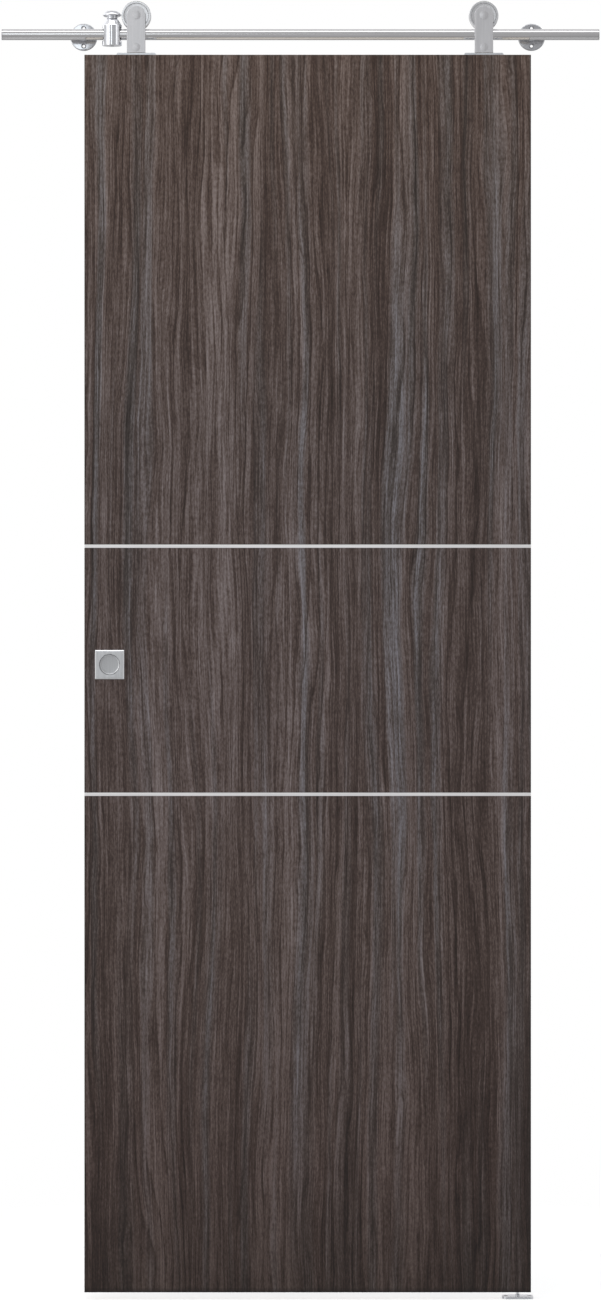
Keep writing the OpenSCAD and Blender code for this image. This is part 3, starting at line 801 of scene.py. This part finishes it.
for side in ("left", "right"):
    low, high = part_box(f"wheel_{side}")
    middle = (low + high) / 2
    wheel_r = (high.z - low.z) / 2 / mm
    half = (high.y - low.y) / 2 / mm
    groove_r = rail_r / mm + groove_play
    rail_off = middle.z / mm
    reach = math.degrees(math.acos((rail_off - wheel_r) / groove_r))
    groove = [
        (rail_off - groove_r * math.cos(math.radians(a)), groove_r * math.sin(math.radians(a)))
        for a in (reach * step / 12 for step in range(-12, 13))
    ]
    outline = [
        (bearing_r + 0.02, bearing_half), (bearing_r + 0.02, -half + 1.5), (bearing_r + 0.5, -half + 1),
        (boss_r, -half + 1), (boss_r, -half + 2), (web_r, -half + 2), (web_r + 0.7, -half + 1.6),
        (recess_r, -half), (wheel_r - 0.8, -half), (wheel_r, -half + 0.8),
        *groove,
        (wheel_r, half - 0.8), (wheel_r - 0.8, half), (recess_r, half), (web_r + 0.7, half - 1.6),
        (web_r, half - 2), (boss_r, half - 2), (boss_r, half - 1), (rear_bore_r, half - 1),
        (rear_bore_r, bearing_half),
    ]
    wheel = ease(turned(outline, middle, (0, 1, 0), closed=True, steps=96), 0.2 * mm, angle=40)
    finish_piece(
        f"wheel_{side}_turned", wheel, turned_steel, f"wheel_{side}", "wheel_steel", f"wheel_{side}",
    )

    outer = turned(
        [*race(outer_ring_bore_r, 2.0, 1), (outer_ring_bore_r, bearing_half), (bearing_r, bearing_half),
         (bearing_r, -bearing_half), (outer_ring_bore_r, -bearing_half)],
        middle, (0, 1, 0), closed=True,
    )
    inner = turned(
        [*race(inner_ring_r, 2.3, -1), (inner_ring_r, bearing_half), (sleeve_bore_r, bearing_half),
         (sleeve_bore_r, -bearing_half), (inner_ring_r, -bearing_half)],
        middle, (0, 1, 0), closed=True,
    )
    finish_piece(
        f"bearing_shell_{side}", ease(outer, 0.2 * mm, angle=60), bearing_steel, f"wheel_{side}",
        "bearing_steel", f"outer_ring_{side}",
    )
    finish_piece(
        f"bearing_core_{side}", ease(inner, 0.2 * mm, angle=60), bearing_steel, "door",
        "bearing_steel", f"inner_ring_{side}",
    )

    set_of_balls = bmesh.new()
    for step in range(balls):
        angle = 2 * math.pi * step / balls
        place = middle + Vector((math.cos(angle), 0, -math.sin(angle))) * ball_ring_r * mm
        bmesh.ops.create_uvsphere(
            set_of_balls, u_segments=24, v_segments=16, radius=ball_r * mm,
            matrix=Matrix.Translation(place),
        )
    finish_piece(
        f"ball_set_{side}", set_of_balls, bearing_steel, f"wheel_{side}", "bearing_steel",
        f"balls_{side}",
    )

# ---------------------------------------------------------------------------
# Rail
# A short length of round steel tube, ground to a satin finish, with a turned plug in each end.
# Inside it, behind each bracket, lies the half-round nut that the bracket's bolt pulls on.
# ---------------------------------------------------------------------------
satin_tube = metal("satin_tube", tint(212, 211, 211), 0.14, (3.0, 260.0, 260.0), 0.02, 0.001)
rail_centre = (rail_low + rail_high) / 2
bore_r = 7.5
plug_r = 7.4
half_l = (rail_high.x - rail_low.x) / 2 / mm
outline = [(bore_r, -half_l), (rail_r / mm, -half_l), (rail_r / mm, half_l), (bore_r, half_l)]
tube = ease(turned(outline, rail_centre, (1, 0, 0), closed=True, steps=96), 0.15 * mm)
finish_piece("rail_tube", tube, satin_tube, "track", "satin_steel", "rail")
for side, outward in (("left", -1), ("right", 1)):
    low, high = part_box(f"end_cap_{side}")
    face = Vector((low.x if outward < 0 else high.x, rail_centre.y, 0))
    plug = turned(
        [(0, 0), (8.9, 0), (rail_r / mm, 0.6), (rail_r / mm, 1.9), (plug_r, 2.0), (plug_r, 11),
         (6.5, 12), (0, 12)],
        face, (-outward, 0, 0), steps=96,
    )
    finish_piece(
        f"end_plug_{side}", ease(plug, 0.15 * mm), satin_tube, "track", "satin_steel",
        f"end_cap_{side}",
    )
dress(zinc_plated, "rail_nuts")

# ---------------------------------------------------------------------------
# Wall brackets
# A turned disc that two screws hold to the wall, with a turned post between it and the rail.
# One long bolt from behind passes through both and draws the rail on to the post's hollowed end.
# ---------------------------------------------------------------------------
chromed_steel = metal("chromed_steel", tint(198, 199, 202), 0.14, (400.0, 400.0, 400.0), 0.10)
disc_t = 5.0
wall_screw_r = 2.5
wall_screw_z = 15.5
post_r = 8.0
post_neck_r = 5.5
bolt_r = 3.0
bolt_hole_r = 3.3
for side in ("left", "right"):
    low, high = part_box(f"flange_{side}")
    centre = Vector(((low.x + high.x) / 2, high.y, 0))
    disc_r = (high.x - low.x) / 2 / mm
    disc = turned(
        [(6.05, 0), (disc_r - 0.4, 0), (disc_r, -0.4), (disc_r, -disc_t + 1.5),
         (disc_r - 0.5, -disc_t + 0.55), (disc_r - 1.5, -disc_t), (post_r + 0.6, -disc_t),
         (post_r + 0.1, -disc_t + 0.4), (bolt_hole_r, -disc_t + 0.4), (bolt_hole_r, -2.75)],
        (0, 0, 0), (0, 1, 0), closed=True, steps=96,
    )
    holes = [
        countersink(
            (0, -disc_t * mm, way * wall_screw_z * mm), (0, 1, 0), wall_screw_r, wall_screw_r + 2,
        )
        for way in (-1, 1)
    ]
    disc = cut(disc, *holes)
    bmesh.ops.translate(disc, verts=disc.verts, vec=centre)
    finish_piece(f"wall_disc_{side}", disc, chromed_steel, "track", "bracket_steel", f"flange_{side}")

    post_end = rail_centre.y / mm + rail_r / mm + 1
    post = turned(
        [(bolt_hole_r, -3.6), (post_r, -3.6), (post_r, post_end + 1.2), (7.6, post_end + 0.35),
         (6.9, post_end), (6.1, post_end), (5.6, post_end - 0.5), (post_neck_r, post_end - 1.4),
         (post_neck_r, rail_centre.y / mm + 7.9), (bolt_hole_r, rail_centre.y / mm + 7.9)],
        centre, (0, 1, 0), closed=True,
    )
    finish_piece(
        f"wall_post_{side}", post, chromed_steel, "track", "bracket_steel", f"standoff_{side}",
    )

    end = rail_centre.y / mm
    bolt = turned(
        [(0, 0), (5.7, 0), (6, -0.25), (bolt_r, -3.2), (bolt_r, end + 0.6), (2.5, end), (0, end)],
        centre, (0, 1, 0),
    )
    bolt = cut(bolt, hexagon(centre, (0, 1, 0), 4.0, 2.0))
    finish_piece(
        f"bracket_bolt_{side}", bolt, zinc_plated, "track", "plated_steel", f"rail_bolt_{side}",
    )

# ---------------------------------------------------------------------------
# Rail stop
# A turned and polished barrel that slides on the rail, spot-faced flat where the rail goes through it.
# Its knob and stem are one screw, which presses a small rubber pad down on the rail.
# ---------------------------------------------------------------------------
mirror_chrome = metal("mirror_chrome", tint(226, 227, 230), 0.09, (200.0, 200.0, 200.0), 0.05, 0.003)
low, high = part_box("stop_body")
centre = Vector(((low.x + high.x) / 2, (low.y + high.y) / 2, 0))
foot, top = low.z / mm, high.z / mm
barrel_r = (high.y - low.y) / 2 / mm
neck_r = 9.5
stem_r = 4.0
stop_bore_r = 9.56
spot_face_x = 14
spot_face_r = 12.5
barrel = turned(
    [(stem_r + 0.05, foot), (barrel_r - 1.0, foot), (barrel_r - 0.3, foot + 0.3),
     (barrel_r, foot + 1.0), (barrel_r, 15.0), (barrel_r - 0.15, 15.8), (barrel_r - 0.8, 16.8),
     (neck_r + 0.7, top - 1.0), (neck_r + 0.2, top - 0.4), (neck_r, top), (stem_r + 0.05, top)],
    centre, (0, 0, 1), closed=True, steps=96,
)
spot_faces = [
    turned(
        [(0, spot_face_x), (spot_face_r, spot_face_x), (spot_face_r, through), (0, through)],
        centre, (way, 0, 0),
    )
    for way in (-1, 1)
]
bore = turned(
    [(0, -through), (stop_bore_r, -through), (stop_bore_r, through), (0, through)],
    centre, (1, 0, 0), steps=96,
)
finish_piece(
    "stop_barrel", cut(barrel, bore, *spot_faces), mirror_chrome, "stop", "polished_steel", "stop_body",
)

low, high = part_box("stop_knob")
rim_r = (high.x - low.x) / 2 / mm
top = high.z / mm
stem_foot = low.z / mm
knob = turned(
    [(0, stem_foot), (3.5, stem_foot), (stem_r, stem_foot + 0.5), (stem_r, 27.9), (9.0, 27.9),
     (neck_r, 28.2), (neck_r, 30), (11.5, 30.3), (13.6, 31.0), (15.3, 32.1), (rim_r, 33.5),
     (15.9, 34.3), (15.2, 35.6), (14.2, 37.0), (12.6, 38.7), (11.0, 39.8), (9.6, top), (0, top)],
    centre, (0, 0, 1), steps=96,
)
finish_piece(
    "clamp_knob", ease(knob, 0.2 * mm, angle=40), mirror_chrome, "stop_screw", "polished_steel",
    "stop_knob", angle=50,
)

rubber, tree, shader = new_material("black_rubber", Roughness=0.7)
place = add(tree, "ShaderNodeTexCoord").outputs["Object"]
grit = noise(tree, place, (1500.0, 1500.0, 1500.0), 3.0)
black = ramp(tree, grit, [(0.3, tint(26, 26, 27)), (0.7, tint(44, 44, 45))])
tree.links.new(black, shader.inputs["Base Color"])
roughen(tree, shader, grit, 0.05 * mm)
dress(rubber, "stop_pad")

# ---------------------------------------------------------------------------
# Floor guide
# A small pressed plate with two screw holes, fixed to the floor under the leaf's right end.
# Its riveted pin with a turned collar runs in the groove along the leaf's foot.
# ---------------------------------------------------------------------------
plate_corner_r = 8 * mm
plate_edge_r = 1.0 * mm
floor_screw_x = 20 * mm
low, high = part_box("guide_plate")
centre = (low + high) / 2
plate = block(low, high)
corners = [e for e in plate.edges if abs(e.verts[0].co.z - e.verts[1].co.z) > 1 * mm]
bmesh.ops.bevel(
    plate, geom=corners, offset=plate_corner_r, segments=12, profile=0.5, affect="EDGES", material=-1
)
rim = [e for e in sharp_edges(plate, 60) if all(v.co.z > centre.z for v in e.verts)]
bmesh.ops.bevel(
    plate, geom=rim, offset=plate_edge_r, segments=3, profile=0.5, affect="EDGES", material=-1
)
holes = [
    countersink(
        Vector((centre.x + way * floor_screw_x, centre.y, high.z)), (0, 0, -1),
        wall_screw_r, wall_screw_r + 2,
    )
    for way in (-1, 1)
]
finish_piece("floor_plate", cut(plate, *holes), chromed_steel, "track", "bracket_steel", "guide_plate")

low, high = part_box("guide_pin")
centre = Vector(((low.x + high.x) / 2, (low.y + high.y) / 2, low.z))
tall = (high.z - low.z) / mm
pin_r = 2.5
collar_r = 4.0
pin = turned(
    [(0, 0), (pin_r, 0), (pin_r, 4), (collar_r, 4), (collar_r, 6.5), (collar_r - 0.5, 7), (pin_r, 7),
     (pin_r, tall - 1), (pin_r - 0.3, tall - 0.3), (pin_r - 1, tall), (0, tall)],
    centre, (0, 0, 1), steps=48,
)
finish_piece("floor_pin", pin, bright_steel, "track", "bracket_steel", "guide_pin")

# ---------------------------------------------------------------------------
# Studio
# A pale, faintly lit floor under the door's foot, soft light all round and three large soft lamps.
# The camera stands square to the leaf, level with its middle.
# ---------------------------------------------------------------------------
floor_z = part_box("guide_plate")[0].z
floor_reach = 2.8
fade_from = 1.3
fade_to = 2.7

floor_mesh = bmesh.new()
bmesh.ops.create_circle(floor_mesh, cap_ends=True, radius=floor_reach, segments=96)
bmesh.ops.translate(floor_mesh, verts=floor_mesh.verts, vec=(0, 0, floor_z))
floor = bpy.data.objects.new("floor", bpy.data.meshes.new("floor"))
floor_mesh.to_mesh(floor.data)
floor_mesh.free()
bpy.context.scene.collection.objects.link(floor)
pale, tree, shader = new_material(
    "pale_floor", Base_Color=(0.97, 0.97, 0.97, 1), Roughness=0.7, Emission_Color=(1, 1, 1, 1),
    Emission_Strength=0.12,
)
place = add(tree, "ShaderNodeTexCoord").outputs["Object"]
reach = add(tree, "ShaderNodeVectorMath", {0: place}, operation="LENGTH").outputs["Value"]
fade = add(tree, "ShaderNodeMapRange", {0: reach, 1: fade_from, 2: fade_to, 3: 1.0, 4: 0.0}).outputs[0]
tree.links.new(fade, shader.inputs["Alpha"])
floor.data.materials.append(pale)

world = bpy.data.worlds.new("studio")
bpy.context.scene.world = world
world.use_nodes = True
tree = world.node_tree
sky = tree.nodes["Background"]
direction = add(tree, "ShaderNodeTexCoord").outputs["Generated"]
dx, dy, dz = add(tree, "ShaderNodeSeparateXYZ", {0: direction}).outputs

# light by the turn about the rail: from the back, under the floor, past the camera and over the top
ahead = calc(tree, "MULTIPLY", dy, -1.0)
turn = calc(tree, "MULTIPLY_ADD", calc(tree, "ARCTAN2", dz, ahead), 0.5 / math.pi, 0.5)
hoop = [
    (0.00, 0.50), (0.20, 0.36), (0.38, 0.42), (0.42, 0.50), (0.50, 0.49), (0.58, 0.50), (0.625, 0.52),
    (0.648, 0.62), (0.658, 2.90), (0.702, 2.90), (0.718, 0.72), (0.800, 0.64), (0.845, 0.76),
    (0.875, 1.10), (0.955, 1.10), (1.00, 0.50),
]
soft = ramp(tree, turn, [(place, (v, v, v * 1.02, 1)) for place, v in hoop])
# light from the two sides, where a hoop has no meaning
aside = calc(tree, "POWER", calc(tree, "ABSOLUTE", dx), 3.0)
soft = blend_colours(tree, aside, soft, (0.50, 0.50, 0.51, 1.0))
level = add(tree, "ShaderNodeMapRange", {0: dx, 1: -1.0, 2: 1.0}).outputs[0]
flanks = [
    (0.00, 0.10), (0.05, 0.80), (0.10, 0.90), (0.20, 0.30), (0.30, 0.12), (0.50, 0.02), (0.90, 0.00),
    (0.96, 0.50), (1.00, 0.20),
]
side_light = ramp(tree, level, [(place, (v, v, v, 1)) for place, v in flanks])
soft = blend_colours(tree, 1.0, soft, side_light, "ADD")
seen = add(tree, "ShaderNodeLightPath").outputs["Is Camera Ray"]
tree.links.new(blend_colours(tree, seen, soft, (1.0, 1.0, 1.0, 1.0)), sky.inputs["Color"])


def soft_lamp(name, place, target, width, height, radiance, colour=(1.0, 1.0, 1.0)):
    """A rectangular soft lamp that faces a target"""
    lamp = bpy.data.lights.new(name, "AREA")
    lamp.color = colour
    lamp.shape = "RECTANGLE"
    lamp.size, lamp.size_y = width, height
    lamp.energy = radiance * math.pi * width * height
    holder = bpy.data.objects.new(name, lamp)
    bpy.context.scene.collection.objects.link(holder)
    aim = (Vector(target) - Vector(place)).to_track_quat("-Z", "Y")
    holder.matrix_world = Matrix.Translation(place) @ aim.to_matrix().to_4x4()


soft_lamp("lamp_left", (-3.2, -3.4, 0.2), (0, 0, -0.8), 1.6, 3.0, 1.6)
soft_lamp("lamp_right", (3.6, -3.0, 0.4), (0, 0, -0.9), 1.0, 2.6, 0.9)
soft_lamp("lamp_front", (-1.1, -9.4, 1.15), (-0.3, 0, 0), 1.2, 3.4, 1.5, (0.90, 0.96, 1.0))

camera = bpy.data.objects.new("camera", bpy.data.cameras.new("camera"))
bpy.context.scene.collection.objects.link(camera)
camera_x = -12.4 * mm
camera_reach = 9.1
eye_height = 1.1076
seen_height = 2.2415
camera.location = (camera_x, leaf_low.y - camera_reach, leaf_foot + eye_height)
camera.rotation_euler = (math.radians(90), 0, 0)
camera.data.sensor_width = 36
camera.data.lens = 36 * camera_reach / seen_height
camera.data.clip_end = 60
bpy.context.scene.camera = camera
bpy.context.scene.view_settings.view_transform = "Standard"
